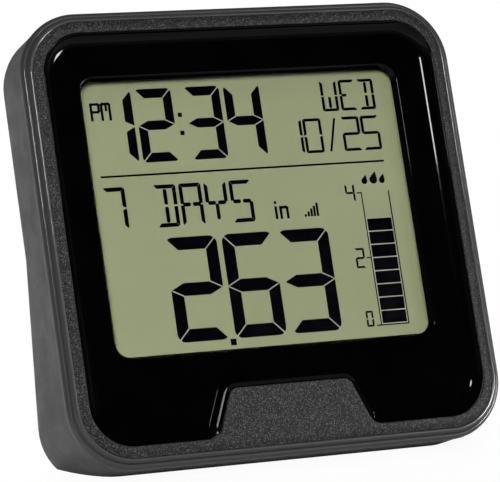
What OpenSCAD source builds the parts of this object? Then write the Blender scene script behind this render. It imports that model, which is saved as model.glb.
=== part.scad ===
// Desk display of a wireless rain gauge: a leaning case with a reflective screen, a fold-out
// stand, four keys and a battery door at the back.
// Each piece is drawn upright in the case frame: X to the right, Y towards the back, Z up the face.
// Y = 0 is the plane of the trim's outer edge. placed() then leans the case on its base.

/* [Front] */
// Width across the front ring
face_w = 114; // [105:1:130]
// Height of the front ring, along the face
face_h = 111.9; // [105:0.1:130]
// Corner radius of the front ring
face_r = 15.5; // [15:0.5:20]
// Depth of the seam between the front ring and the rear case
seam_depth = 3; // [2.8:0.1:4]
// Width of the front ring beside the trim
ring_side = 2.5; // [2:0.1:3]
// Width of the front ring above and below the trim
ring_end = 2.55; // [2:0.05:3]
// Width of the sparkling trim at the sides
band_side = 2.6; // [2.2:0.1:3.5]
// Width of the sparkling trim at the top and bottom
band_end = 2.8; // [2.2:0.1:3.5]
// How far the inner edge of the trim stands proud of its outer edge
trim_crown = 0.5; // [0.2:0.1:1]
// Width of the bare pad at its foot
pad_foot_w = 41; // [30:1:46]
// Width of the bare pad at its top
pad_top_w = 30; // [20:1:34]
// Height of the bare pad above the trim's inner edge
pad_h = 11.8; // [8:0.1:14]

/* [Screen] */
// Width of the black panel beside the screen window
panel_side = 10.4; // [9.5:0.1:16]
// Width of the black panel above the screen window
panel_above = 11.55; // [10.5:0.05:18]
// Width of the black panel below the screen window
panel_below = 21.95; // [20:0.05:30]
// Depth of the black panel behind the trim plane
panel_depth = 1.8; // [1.2:0.1:2.2]
// Thickness of the black panel
panel_t = 1.6; // [1.2:0.1:2]
// Thickness of the clear lens
lens_t = 1; // [0.8:0.1:1.1]
// Thickness of each sheet of screen glass
glass_t = 0.7; // [0.5:0.05:0.8]

/* [Rear case] */
// Depth of the flat upper back beyond the diameter of a cell
back_room = 6; // [6:0.1:9]
// Wall thickness of the rear case
wall = 2; // [1.6:0.1:2.4]
// Rounding of the rear edges
back_r = 4; // [3:0.5:5]
// Angle of the thicker lower back
wedge_angle = 10.8; // [9:0.1:12]
// Height of the thicker lower back beyond its two cells
wedge_room = 24.76; // [24:0.01:28]
// Angle at which the face leans back on a table
face_lean = 21.3; // [19:0.1:23]
// Depth at which the flat base starts
base_front_depth = 14; // [12:0.5:16]

/* [Stand] */
// Distance between the battery door and the stand's arms
arm_gap = 3; // [2.5:0.1:5]
// Width of each arm
arm_w = 4; // [3:0.5:5]
// Thickness of the stand
stand_t = 3; // [2.4:0.1:3.2]
// Height of the stand's cross bar
bar_h = 3.4; // [3:0.1:3.6]
// Radius of the hinge pins
pin_r = 1; // [0.8:0.05:1.2]
// Length of each hinge pin
pin_len = 2; // [1.5:0.1:2.2]

/* [Battery bay] */
// Diameter of a cell
cell_d = 14.5; // [13.5:0.1:14.5]
// Length of a cell with its button
cell_len = 50.5; // [48:0.5:51]
// Length of the bay beyond its cells
bay_spare = 6.5; // [6:0.1:8]
// Thickness of the battery door
door_t = 1.8; // [1.4:0.1:2]
// How far the battery door reaches past the bay at each side
door_side = 2.5; // [2:0.1:4]

/* [Keys] */
// Diameter of the keys
key_d = 7; // [6:0.5:8]
// Distance between neighbouring keys
key_pitch = 14; // [12:0.5:16]
// Travel of the keys
key_travel = 0.6; // [0.4:0.1:0.8]

/* [Hanging] */
// Radius of the keyhole's entry
keyhole_r = 4; // [3.5:0.1:4.5]
// Distance of the keyhole's entry from the top edge
keyhole_drop = 15.95; // [14:0.05:20]

/* [Hidden] */
// Overrun of every cut, and thickness of the slabs that a hull joins
over = 1;
skin = 0.02;
// Clearances: face to face, a seated plate, and a running pin
gap = 0.1;
seat_gap = 0.2;
run_gap = 0.06;
// Segments on plain circles and on the circles inside a hull
$fn = 48;
hull_fn = 48;

// Front ring and trim
trim_w = face_w - 2 * ring_side;
trim_h = face_h - 2 * ring_end;
trim_open_w = trim_w - 2 * band_side;
trim_open_h = trim_h - 2 * band_end;
trim_r = face_r - ring_side;
open_r = trim_r - band_side;
step_in = 1.4;
step_depth = 0.2;
rim_depth = 1.4;
seam_in = 0.15;
tongue_in = wall + seam_in + seat_gap;
tongue_len = 2.2;
tongue_t = 1.6;
trim_back = 1;
flange_in = 0.7;
ledge_w = 3.3;
ledge_t = 1.6;
panel_back = panel_depth + panel_t;
pocket_w = trim_open_w + 2 * flange_in + 2 * seat_gap;
pocket_h = trim_open_h + 2 * flange_in + 2 * seat_gap;
pocket_r = face_r - (face_w - pocket_w) / 2;

// Dish and window
window_w = trim_open_w - 2 * panel_side;
window_h = trim_open_h - panel_above - panel_below;
window_up = (panel_below - panel_above) / 2;
window_r = 2.2;
lip_rise = 0.2;
lip_w = 0.5;
dish_w = 3;
pad_wall_w = 2;
pad_corner_r = 2;
chamfer_w = 0.9;
chamfer_land = 0.3;

// Screen stack, from the panel's back towards the board
tape_t = 0.15;
tape_w = 1.4;
lens_margin = 2;
film_t = 0.2;
air_t = 0.05;
glass_margin = 2.5;
contact_ledge = 3.2;
film_margin = 1.2;
lens_front = panel_back + tape_t;
film_front = lens_front + lens_t + air_t;
glass_front = film_front + film_t;
rear_glass_front = glass_front + glass_t;
reflector_front = rear_glass_front + glass_t;
holder_plate_front = reflector_front + film_t;
holder_plate_t = 0.6;
holder_plate_back = holder_plate_front + holder_plate_t;
glass_w = window_w + 2 * glass_margin;
glass_low = window_up - window_h / 2 - glass_margin;
rear_glass_top = window_up + window_h / 2 + glass_margin;
glass_top = rear_glass_top + contact_ledge;
holder_wall = 1.6;
holder_w = glass_w + 2 * seat_gap + 2 * holder_wall;
holder_low = glass_low - seat_gap - holder_wall;
holder_top = glass_top + seat_gap + holder_wall;
zebra_w = 2.2;
zebra_up = (rear_glass_top + glass_top) / 2;
zebra_len = window_w;

// Lower back, in its own frame: Y outwards from the sloping back, Z up along it
cell_gap = 1.3;
back_depth = cell_d + back_room;
back_draft = 0.3;
foot_share = 0.8;
base_low = face_h / 2 - seam_in - foot_share * back_draft;
wedge_top = 2 * cell_d + cell_gap + wedge_room - base_low;
table_drop = base_front_depth * sin(face_lean) + base_low * cos(face_lean);
wedge_tan = tan(wedge_angle);
base_tan = tan(face_lean);
corner_depth = (back_depth + wedge_tan * (wedge_top + base_low + base_front_depth * base_tan))
    / (1 + wedge_tan * base_tan);
corner_up = -base_low + (corner_depth - base_front_depth) * base_tan;
corner_down = (wedge_top - corner_up) / cos(wedge_angle);
base_mid_depth = (base_front_depth + corner_depth) / 2 - over;
base_mid_up = -base_low + (base_mid_depth - base_front_depth) * base_tan;
origin_y = base_mid_depth * cos(face_lean) + base_mid_up * sin(face_lean);

// Main board
board_gap = 1.6;
board_front = holder_plate_back + board_gap;
board_t = 1.6;
board_back = board_front + board_t;
board_edge = 2.4;
board_notch = 8;
board_step = 10.4;
board_lift = 3.5;
board_top_in = 8.55;
board_post_gap = 1.6;
board_screw_rise = 6;
board_screw_drop = 5;
board_post_r = 2.2;
board_screw_r = 0.9;
board_screw_len = 3.2;
board_head_r = 1.7;
board_head_t = 1;
board_screw_x = holder_w / 2 + board_post_r + board_post_gap;
board_w = 2 * (board_screw_x + board_edge);
board_top_w = board_w - 2 * board_notch;
board_low = wedge_top + board_lift;
board_top = face_h / 2 - board_top_in;
board_shoulder = board_top - board_step;
board_screw_low = board_low + board_screw_rise;
board_screw_high = board_shoulder - board_screw_drop;

// Case screws
boss_r = 2.75;
boss_meet = 11.2;
rear_boss_r = 3.9;
counterbore_r = 2.9;
seat_t = 2;
screw_head_r = 2.7;
screw_head_t = 1.8;
screw_r = 1.25;
screw_reach = 5.2;
screw_slot_w = 0.9;
screw_slot_t = 0.7;
screw_slot_share = 0.7;
case_screw_side = 0.85;
case_screw_in = 14.45;
case_screw_x = holder_w / 2 + boss_r + case_screw_side;
case_screw_up = face_h / 2 - case_screw_in;

// Battery bay, in the frame of the lower back
bay_len = cell_len + bay_spare;
lay_gap = 0.35;
cell_in = door_t + lay_gap + cell_d / 2;
cell_pitch = cell_d + cell_gap;
bay_start = 14.65;
cell_high_down = bay_start + cell_d / 2;
cell_low_down = cell_high_down + cell_pitch;
bay_wall = 1.2;
bay_gap = 0.15;
bay_top_down = cell_high_down - cell_d / 2 - bay_gap;
bay_low_down = cell_low_down + cell_d / 2 + bay_gap;
floor_t = 0.9;
floor_front = holder_plate_back + gap;
floor_back = floor_front + floor_t;
cradle_t = 1.5;
cradle_share = 0.56;
cradle_x = cradle_share * bay_len / 2;
door_w = bay_len + 2 * door_side;
door_over = 0.9;
door_under = 1.6;
door_top_down = bay_top_down - door_over;
door_low_down = bay_low_down - door_under;
door_lip = 1.2;
door_barrel_r = 1;
door_pin_r = 0.6;
door_pin_len = 1.2;
door_axis_down = door_low_down - door_barrel_r;
latch_w = 12;
latch_len = 2.4;
latch_t = 0.8;
latch_drop = 0.4;
thumb_r = 5;
thumb_t = 0.8;
thumb_down = 5;

// Battery contacts, with tabs that pass through the bay's wall to the leads
contact_t = 0.4;
contact_h = 10;
bump_t = 0.8;
bump_r = 2;
button_r = 2.75;
button_t = 1;
cell_shift = bay_len / 2 - contact_t - bump_t - cell_len / 2;
spring_len = bay_len - 2 * contact_t - bump_t - cell_len - 2 * gap;
spring_big_r = 4.2;
spring_small_r = 2.2;
spring_wire_r = 0.35;
spring_turns = 4;
spring_sides = 6;
spring_steps = 12;
solder_tab_len = 2.2;
solder_tab_w = 3;

// Stand, folded flat in its groove
stand_w = door_w + 2 * (arm_gap + arm_w);
hinge_down = 3;
hinge_in = stand_t / 2;
stand_reach = corner_down - hinge_down - seat_gap;
stand_tilt = face_lean - wedge_angle;
hinge_high = (corner_down - hinge_down) * cos(stand_tilt) + hinge_in * sin(stand_tilt);
leg_angle = acos((hinge_high - stand_t / 2) / (stand_reach - stand_t / 2));
stand_open = leg_angle + stand_tilt;
groove_gap = 0.35;
groove_depth = stand_t + groove_gap;
groove_wall = 1.5;
groove_side = 3;
arm_x = stand_w / 2 - arm_w / 2;

// Keys and switches, half-way between the lower back and the keyhole
keyhole_up = face_h / 2 - keyhole_drop;
key_up = (wedge_top + keyhole_up) / 2;
key_count = 4;
key_proud = 0.8;
key_gap = 0.15;
key_flange_w = 0.9;
key_flange_r = key_d / 2 + key_flange_w;
key_flange_t = 0.8;
key_stem_r = 1.4;
switch_w = 6;
switch_t = 3.6;
plunger_r = 1.7;
plunger_t = 1.2;
plunger_well = 2;

// Receiver board and parts on the main board
receiver_side = 16;
receiver_x = receiver_side - board_w / 2;
receiver_w = 20;
receiver_h = 13;
receiver_rise = 1;
receiver_up = key_up + switch_w / 2 + receiver_rise + receiver_h / 2;
receiver_t = 1;
receiver_lift = 2;
receiver_pin_w = 0.6;
receiver_pins = 4;
receiver_pitch = 2.54;
chip_w = 5;
chip_h = 4;
chip_t = 1.2;
blob_r = 6;
blob_t = 1.8;
blob_x = 10;
blob_in = 2.4;
blob_up = board_top - blob_r - blob_in;
crystal_r = 1.5;
crystal_len = 8;
crystal_side = 11;
crystal_x = board_top_w / 2 - crystal_side;
crystal_up = board_top - blob_r - blob_in;
can_r = 2.5;
can_gap = 1.3;
can_len = back_depth - wall - board_back - can_gap;
can_side = 16;
can_x = board_w / 2 - can_side;
can_rise = 11;
can_up = board_low + can_rise;
upright_t = 2.4;
small_w = 2;
small_h = 1.2;
small_t = 0.7;
small_pitch = 5;
small_count = 5;
small_x = -12;
small_rise = 3.6;
small_up = board_low + small_rise;
small_row_pitch = 2.4;
antenna_r = 0.5;
wire_r = 0.6;
lead_sides = 8;

// A place in the frame of the lower back, given in the case frame
function slope_point(x, out, along) =
    [x, back_depth + cos(wedge_angle) * out - sin(wedge_angle) * along,
        wedge_top + sin(wedge_angle) * out + cos(wedge_angle) * along];

// Routes of the aerial wire and the two leads
wire_end = 3;
wire_rise = 6;
wire_step = 5;
wire_apart = 2.5;
antenna_in = 6.45;
antenna_side = 21;
antenna_up = face_h / 2 - antenna_in;
antenna_start = receiver_x + receiver_w / 2 - 2 * antenna_r;
antenna_seat = board_back + receiver_lift + receiver_t + antenna_r;
antenna_depth = antenna_seat + antenna_r;
antenna_route = [[antenna_start, antenna_seat, receiver_up],
    [antenna_start, antenna_seat, receiver_up + wire_end],
    [antenna_start, antenna_depth, antenna_up - wire_rise],
    [antenna_start + wire_step, antenna_depth, antenna_up],
    [face_w / 2 - antenna_side, antenna_depth, antenna_up]];
wire_seat = board_back + wire_r + gap / 2;
wire_x = bay_len / 2 + bay_wall + solder_tab_len / 2;
tab_top = solder_tab_w / 2 + gap / 2;
plus_route = [slope_point(wire_x, -cell_in, tab_top - cell_high_down),
    slope_point(wire_x, -cell_in, tab_top - cell_high_down + wire_rise),
    [wire_x + wire_apart, wire_seat, board_low + wire_r],
    [wire_x + wire_apart, wire_seat, board_low + wire_end]];
minus_route = [slope_point(wire_x, -cell_in, tab_top - cell_low_down),
    slope_point(wire_x, -cell_in, tab_top - cell_low_down + wire_end),
    slope_point(wire_x + wire_step, -cell_in, -cell_high_down),
    slope_point(wire_x + wire_step + wire_apart, -cell_in, wire_rise - cell_high_down),
    [wire_x + wire_step + wire_apart, wire_seat, board_low + wire_r],
    [wire_x + wire_step + wire_apart, wire_seat, board_low + wire_end]];

// Frames

// Leans the case back and stands its flat base on the table, with the base's middle at the origin
module placed() {
    translate([0, -origin_y, table_drop]) rotate([-face_lean, 0, 0]) children();
}

// Frame of the sloping lower back
module on_slope() {
    translate([0, back_depth, wedge_top]) rotate([wedge_angle, 0, 0]) children();
}

// Shared shapes

module rounded(w, h, r) {
    square([w - 2 * r, h], center = true);
    square([w, h - 2 * r], center = true);
    for (x = [-1, 1], y = [-1, 1])
        translate([x * (w / 2 - r), y * (h / 2 - r)]) circle(r);
}

// Extrudes an outline of the face from one depth to another
module slab(from, to) {
    translate([0, to, 0]) rotate([90, 0, 0]) linear_extrude(to - from) children();
}

// Outline of the front ring, drawn in by some distance all round
module outline(inset) {
    rounded(face_w - 2 * inset, face_h - 2 * inset, face_r - inset);
}

// Rod along the depth at a place on the face
module rod(x, up, r, from, to) {
    translate([x, to, up]) rotate([90, 0, 0]) cylinder(r = r, h = to - from);
}

// Box on the face between two depths
module brick(x, up, w, h, from, to) {
    translate([x - w / 2, from, up - h / 2]) cube([w, to - from, h]);
}

// Upright plate between two heights on the face
module sheet(w, low, top, from, to) {
    translate([-w / 2, from, low]) cube([w, to - from, top - low]);
}

function unit(v) = v / norm(v);

// Direction of a route at one of its points: the mean of the runs that meet there
function heading(route, i) =
    let (last = len(route) - 1)
    unit((i < last ? unit(route[i + 1] - route[i]) : [0, 0, 0])
        + (i > 0 ? unit(route[i] - route[i - 1]) : [0, 0, 0]));

// Faces of a tube of rings, closed at both ends
function tube_faces(rings, sides) = concat(
    [for (i = [0 : rings - 2], j = [0 : sides - 1])
        let (a = i * sides + j, b = i * sides + (j + 1) % sides)
        each [[a, b, a + sides], [b, b + sides, a + sides]]],
    [[for (j = [sides - 1 : -1 : 0]) j], [for (j = [0 : sides - 1]) (rings - 1) * sides + j]]);

// Round lead along a route, one ring of points at each bend
module lead(route, r) {
    points = [for (i = [0 : len(route) - 1])
        let (ahead = heading(route, i), across = unit(cross(ahead, [0, 1, 0])),
            up = cross(across, ahead))
        for (j = [0 : lead_sides - 1])
            route[i] + r * (cos(360 * j / lead_sides) * across + sin(360 * j / lead_sides) * up)];
    polyhedron(points, tube_faces(len(route), lead_sides));
}

module case_screw_places() {
    for (x = [-1, 1], z = [-1, 1]) translate([x * case_screw_x, 0, z * case_screw_up]) children();
}

module board_screw_places() {
    for (x = [-1, 1], z = [board_screw_low, board_screw_high])
        translate([x * board_screw_x, 0, z]) children();
}

function key_x(i) = (i - (key_count - 1) / 2) * key_pitch;

// Front of the case

module front_case() color("#4a4a4a") {
    difference() {
        union() {
            slab(rim_depth, seam_depth) outline(0);
            slab(step_depth, seam_depth) outline(step_in);
            slab(trim_back, seam_depth + tongue_len) outline(tongue_in);
            case_screw_places() rod(0, 0, boss_r, seam_depth, boss_meet);
            board_screw_places() rod(0, 0, board_post_r, seam_depth, board_front);
        }
        slab(-over, trim_back) rounded(trim_w + gap, trim_h + gap, trim_r);
        slab(-over, panel_back) rounded(pocket_w, pocket_h, pocket_r);
        slab(-over, panel_back + ledge_t + over)
            rounded(pocket_w - 2 * ledge_w, pocket_h - 2 * ledge_w, pocket_r - ledge_w);
        front_case_back_room();
        case_screw_places() rod(0, 0, screw_r + run_gap, screw_reach, boss_meet + over);
        board_screw_places()
            rod(0, 0, board_screw_r + run_gap, board_front - board_screw_len, board_front + over);
    }
}

// Room behind the ledge, inside the tongue, that leaves the bosses and posts standing
module front_case_back_room() {
    difference() {
        slab(panel_back + ledge_t, seam_depth + tongue_len + over) outline(tongue_in + tongue_t);
        case_screw_places() rod(0, 0, boss_r, 0, boss_meet);
        board_screw_places() rod(0, 0, board_post_r, 0, board_front);
    }
}

// Outline of the bare pad, grown by some distance
module pad_outline(grow) {
    foot = -trim_open_h / 2;
    rise = pad_h + grow;
    r = pad_corner_r;
    foot_half = pad_foot_w / 2 + grow;
    top_half = pad_top_w / 2 + grow;
    hull() {
        for (x = [-1, 1]) translate([x * (top_half - r), foot + rise - r]) circle(r, $fn = hull_fn);
        translate([-foot_half, foot - flange_in]) square([2 * foot_half, flange_in]);
    }
}

module front_trim() color("#3a3a3a") {
    difference() {
        hull() {
            slab(0, trim_back) rounded(trim_w, trim_h, trim_r);
            slab(-trim_crown, 0)
                rounded(trim_w - band_side, trim_h - band_side, trim_r - band_side / 2);
        }
        difference() {
            slab(-trim_crown - over, trim_back + over) rounded(trim_open_w, trim_open_h, open_r);
            slab(-trim_crown - over, trim_back + over) pad_outline(0);
        }
    }
}

module window_bezel() color("#0a0a0b") {
    w = trim_open_w - 2 * gap;
    h = trim_open_h - 2 * gap;
    difference() {
        union() {
            slab(-lip_rise, panel_back) rounded(w, h, open_r - gap);
            slab(trim_back, panel_back)
                rounded(w + 2 * flange_in, h + 2 * flange_in, open_r + flange_in - gap);
        }
        difference() {
            hull() {
                slab(-lip_rise - over, -lip_rise)
                    rounded(w - 2 * lip_w, h - 2 * lip_w, open_r - gap - lip_w);
                slab(panel_depth - skin, panel_depth)
                    rounded(w - 2 * dish_w, h - 2 * dish_w, open_r - gap - dish_w);
            }
            hull() {
                slab(-lip_rise, -lip_rise + skin) pad_outline(lip_w + gap);
                slab(panel_depth, panel_depth + skin) pad_outline(pad_wall_w + gap);
            }
        }
        slab(-lip_rise - over, trim_back) pad_outline(gap);
        window_cut();
    }
}

// Window with its chamfered edge
module window_cut() {
    translate([0, 0, window_up]) {
        slab(0, panel_back + over) rounded(window_w, window_h, window_r);
        hull() {
            slab(panel_depth - skin, panel_depth)
                rounded(window_w + 2 * chamfer_w, window_h + 2 * chamfer_w, window_r + chamfer_w);
            slab(panel_back - chamfer_land, panel_back - chamfer_land + skin)
                rounded(window_w, window_h, window_r);
        }
    }
}

// Screen

module lens_tape() color("#1c1c1c") translate([0, 0, window_up]) {
    difference() {
        slab(panel_back, panel_back + tape_t)
            rounded(window_w + 2 * lens_margin, window_h + 2 * lens_margin, window_r);
        slab(panel_back - over, panel_back + tape_t + over)
            rounded(window_w + 2 * (lens_margin - tape_w), window_h + 2 * (lens_margin - tape_w),
                window_r);
    }
}

module lens() color("#e8f0f0", 0.35) translate([0, 0, window_up]) {
    slab(lens_front, lens_front + lens_t)
        rounded(window_w + 2 * lens_margin, window_h + 2 * lens_margin, window_r);
}

module lcd_front_film() color("#a8b090", 0.5) {
    sheet(glass_w - film_margin, glass_low + film_margin / 2, rear_glass_top - film_margin / 2,
        film_front, film_front + film_t);
}

module lcd_front_glass() color("#c8d4c0", 0.5) {
    sheet(glass_w, glass_low, glass_top, glass_front, glass_front + glass_t);
}

module lcd_rear_glass() color("#c0ccb8", 0.5) {
    sheet(glass_w, glass_low, rear_glass_top, rear_glass_front, rear_glass_front + glass_t);
}

module lcd_reflector() color("#9aa082") {
    sheet(glass_w - film_margin, glass_low + film_margin / 2, rear_glass_top - film_margin / 2,
        reflector_front, reflector_front + film_t);
}

module lcd_holder() color("#2c2c2e") {
    difference() {
        union() {
            sheet(holder_w, holder_low, holder_top, panel_back, holder_plate_back);
            sheet(holder_w, board_low, holder_top, holder_plate_front, board_front);
        }
        sheet(glass_w + 2 * seat_gap, glass_low - seat_gap, glass_top + seat_gap,
            panel_back - over, holder_plate_front);
        sheet(holder_w - 2 * holder_wall, board_low + holder_wall, zebra_up - zebra_w - gap,
            holder_plate_back, board_front + over);
        sheet(zebra_len + 2 * gap, zebra_up - zebra_w / 2 - gap, zebra_up + zebra_w / 2 + gap,
            holder_plate_front - over, board_front + over);
    }
}

module zebra_strip() color("#d8a0a8") {
    sheet(zebra_len, zebra_up - zebra_w / 2, zebra_up + zebra_w / 2, rear_glass_front, board_front);
}

// Boards

module main_board() color("#1f6b3a") {
    difference() {
        union() {
            sheet(board_w, board_low, board_shoulder, board_front, board_back);
            sheet(board_top_w, board_low, board_top, board_front, board_back);
        }
        board_screw_places()
            rod(0, 0, board_screw_r + seat_gap, board_front - over, board_back + over);
    }
}

module board_screws() color("#b8b8bc") board_screw_places() {
    difference() {
        union() {
            rod(0, 0, board_screw_r, board_front - board_screw_len + gap, board_back);
            rod(0, 0, board_head_r, board_back, board_back + board_head_t);
        }
        brick(0, 0, 2 * board_head_r, screw_slot_t, board_back + board_head_t / 2,
            board_back + board_head_t + over);
    }
}

// Round drop of resin, with a profile that is a quarter of a wave
module chip_blob() color("#101010") {
    translate([blob_x, board_back, blob_up]) rotate([-90, 0, 0]) rotate_extrude()
        polygon([[0, 0], for (a = [0 : 15 : 90]) [blob_r * cos(a), blob_t * sin(a)]]);
}

module clock_crystal() color("#c8c8cc") {
    translate([crystal_x - crystal_len / 2, board_back + crystal_r, crystal_up])
        rotate([0, 90, 0]) cylinder(r = crystal_r, h = crystal_len);
}

module electrolytic_capacitor() color("#26324a") {
    rod(can_x, can_up, can_r, board_back, board_back + can_len);
}

// Row of small rectangular parts
module small_row(up) {
    for (i = [0 : small_count - 1])
        brick(small_x + i * small_pitch, up, small_w, small_h, board_back, board_back + small_t);
}

module chip_capacitors() color("#b08c5a") small_row(small_up);

module chip_resistors() color("#181818") small_row(small_up - small_row_pitch);

module receiver_board() color("#1c5c8a") {
    front = board_back + receiver_lift;
    brick(receiver_x, receiver_up, receiver_w, receiver_h, front, front + receiver_t);
}

module receiver_pins() color("#c8a850") {
    first = receiver_x - (receiver_pins - 1) / 2 * receiver_pitch;
    for (i = [0 : receiver_pins - 1])
        brick(first + i * receiver_pitch, receiver_up - receiver_h / 2 + receiver_pitch / 2,
            receiver_pin_w, receiver_pin_w, board_back, board_back + receiver_lift);
}

module receiver_chip() color("#141414") {
    front = board_back + receiver_lift + receiver_t;
    brick(receiver_x, receiver_up, chip_w, chip_h, front, front + chip_t);
}

module receiver_crystal() color("#c8c8cc") {
    front = board_back + receiver_lift + receiver_t;
    rod(receiver_x - receiver_w / 3, receiver_up, crystal_r, front, front + upright_t);
}

module antenna_wire() color("#c07840") lead(antenna_route, antenna_r);

// Keys and their switches

module switch_bodies() color("#202022") {
    for (i = [0 : key_count - 1]) difference() {
        brick(key_x(i), key_up, switch_w, switch_w, board_back, board_back + switch_t);
        rod(key_x(i), key_up, plunger_r + gap, board_back + switch_t - plunger_well,
            board_back + switch_t + over);
    }
}

module plunger(i) color("#d8d8d0") {
    rod(key_x(i), key_up, plunger_r, board_back + switch_t - plunger_well + key_travel + gap,
        board_back + switch_t + plunger_t);
}

module key(i) color("#5a5a5c") {
    inside = back_depth - wall - gap / 2;
    rod(key_x(i), key_up, key_d / 2, inside - key_flange_t, back_depth + key_proud);
    rod(key_x(i), key_up, key_flange_r, inside - key_flange_t, inside);
    rod(key_x(i), key_up, key_stem_r, board_back + switch_t + plunger_t, inside - key_flange_t);
}

// Rear case

// Body of the rear case, drawn in all round by some distance
module flat_body(inset, r) {
    deep = back_depth - inset;
    hull() {
        slab(seam_depth, seam_depth + skin) outline(seam_in + inset, $fn = hull_fn);
        for (a = [0 : 22.5 : 90])
            slab(deep - r + r * sin(a) - skin, deep - r + r * sin(a))
                outline(seam_in + back_draft + inset + r * (1 - cos(a)), $fn = hull_fn);
    }
}

// The thicker lower part: the case's own sides below, and the sloping back
module sloped_body(inset, r) {
    side = seam_in + back_draft + inset;
    hull() {
        slab(back_depth - back_r - inset - skin, back_depth - back_r - inset) lower_outline(side);
        for (a = [0 : 22.5 : 90])
            on_slope() slab(-inset - r + r * sin(a) - skin, -inset - r + r * sin(a))
                lower_outline(side + r * (1 - cos(a)));
    }
}

// Outline below the start of the slope
module lower_outline(inset) {
    intersection() {
        outline(inset, $fn = hull_fn);
        translate([-face_w / 2, -face_h]) square([face_w, face_h]);
    }
}

// Everything above the flat base, raised by some distance
module above_base(lift) {
    translate([-face_w, base_front_depth, -base_low]) rotate([face_lean, 0, 0])
        translate([0, -face_h, lift]) cube([2 * face_w, 2 * face_h, 3 * face_h]);
}

module bay_walls() {
    half = bay_len / 2 + bay_wall;
    high = bay_low_down - bay_top_down + 2 * bay_wall;
    intersection() {
        on_slope() translate([-half, -face_h / 2, -bay_low_down - bay_wall])
            cube([2 * half, face_h / 2, high]);
        slab(floor_front, 2 * back_depth) outline(0);
    }
}

module bay_room() {
    high = bay_low_down - bay_top_down;
    difference() {
        intersection() {
            on_slope() translate([-bay_len / 2, -face_h / 2, -bay_low_down])
                cube([bay_len, face_h / 2 - door_t - door_lip, high]);
            slab(floor_back, 2 * back_depth) outline(0);
        }
        for (x = [-1, 1]) on_slope()
            translate([x * cradle_x - cradle_t / 2, -face_h / 2 - cell_in, -bay_low_down])
                cube([cradle_t, face_h / 2, high]);
    }
    // Space that the cells take out of the cradle ribs
    cell_places() rotate([0, 90, 0])
        cylinder(r = cell_d / 2 + bay_gap, h = bay_len, center = true);
}

module cell_places() {
    on_slope() for (down = [cell_high_down, cell_low_down])
        translate([0, -cell_in, -down]) children();
}

// Groove that the folded stand lies in, and the thicker wall behind it
module stand_groove(grow, deep) {
    outer = stand_w / 2 + groove_gap + grow;
    inner = stand_w / 2 - arm_w - groove_gap - grow;
    on_slope() {
        for (x = [-1, 1])
            translate([x * (outer + inner) / 2 - (outer - inner) / 2, -deep, -face_h])
                cube([outer - inner, deep + over, face_h - hinge_down + hinge_in + groove_gap + grow]);
        translate([-outer, -deep, -face_h])
            cube([2 * outer, deep + over,
                face_h - hinge_down - stand_reach + bar_h + groove_gap + grow]);
    }
}

module hinge_line(r, half) {
    on_slope() translate([-half, -hinge_in, -hinge_down]) rotate([0, 90, 0])
        cylinder(r = r, h = 2 * half);
}

module rear_case() color("#585858") {
    difference() {
        intersection() {
            difference() {
                union() {
                    flat_body(0, back_r);
                    sloped_body(0, back_r);
                }
                difference() {
                    union() {
                        flat_body(wall, back_r - wall);
                        sloped_body(wall, back_r - wall);
                        slab(-over, seam_depth) outline(seam_in + wall);
                    }
                    rear_inside();
                    rear_base_wall();
                }
            }
            above_base(0);
        }
        bay_room();
        for (down = [cell_high_down, cell_low_down]) on_slope() solder_tab(down, gap);
        door_recess();
        stand_groove(0, groove_depth);
        hinge_line(pin_r + run_gap, stand_w / 2 + pin_len + seat_gap);
        for (i = [0 : key_count - 1])
            rod(key_x(i), key_up, key_d / 2 + key_gap, back_depth - wall - over, back_depth + over);
        case_screw_places() {
            rod(0, 0, counterbore_r, boss_meet + seat_t, 2 * back_depth);
            rod(0, 0, screw_r + seat_gap, boss_meet - over, boss_meet + seat_t + over);
        }
        keyhole();
    }
}

// What stands inside the shell: bay, screw posts and the backing of the stand's groove
module rear_inside() {
    bay_walls();
    intersection() {
        stand_groove(groove_wall, groove_depth + groove_wall);
        slab(boss_meet, 2 * back_depth) outline(0);
    }
    on_slope() for (x = [-1, 1])
        translate([x * (stand_w / 2 + groove_side / 2) - groove_side / 2,
            -groove_depth - groove_wall, -hinge_down - groove_side])
            cube([groove_side, groove_depth + groove_wall, 2 * groove_side]);
    case_screw_places() rod(0, 0, rear_boss_r, boss_meet, 2 * back_depth);
}

// Wall behind the flat base
module rear_base_wall() {
    difference() {
        translate([-face_w, -face_h, -2 * face_h]) cube([2 * face_w, 2 * face_h, 2 * face_h]);
        above_base(wall);
    }
}

// Rod along X on the door's hinge axis, in the frame of the lower back
module door_axis(r, half) {
    translate([-half, -door_barrel_r, -door_axis_down]) rotate([0, 90, 0])
        cylinder(r = r, h = 2 * half);
}

module door_recess() {
    on_slope() {
        door_axis(door_barrel_r + seat_gap, door_w / 2 + seat_gap);
        door_axis(door_pin_r + run_gap, door_w / 2 + door_pin_len + seat_gap);
        translate([-door_w / 2 - seat_gap, -door_t - gap / 2, -door_low_down - seat_gap])
            cube([door_w + 2 * seat_gap, door_t + gap + over,
                door_low_down - door_top_down + 2 * seat_gap]);
        translate([-bay_len / 2, -door_t - door_lip - over, -door_low_down + door_lip])
            cube([bay_len, door_t + door_lip + 2 * over,
                door_low_down - door_top_down - 2 * door_lip]);
        translate([-latch_w / 2 - seat_gap, -door_t - latch_len - over,
            -door_top_down - door_lip - over])
            cube([latch_w + 2 * seat_gap, latch_len + 2 * over, door_lip + over + seat_gap]);
    }
}

module keyhole() {
    slot_r = keyhole_r / 2;
    rod(0, keyhole_up, keyhole_r, back_depth - wall - over, back_depth + over);
    rod(0, keyhole_up + keyhole_r + slot_r, slot_r, back_depth - wall - over, back_depth + over);
    brick(0, keyhole_up + (keyhole_r + slot_r) / 2, 2 * slot_r, keyhole_r + slot_r,
        back_depth - wall - over, back_depth + over);
}

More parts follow.
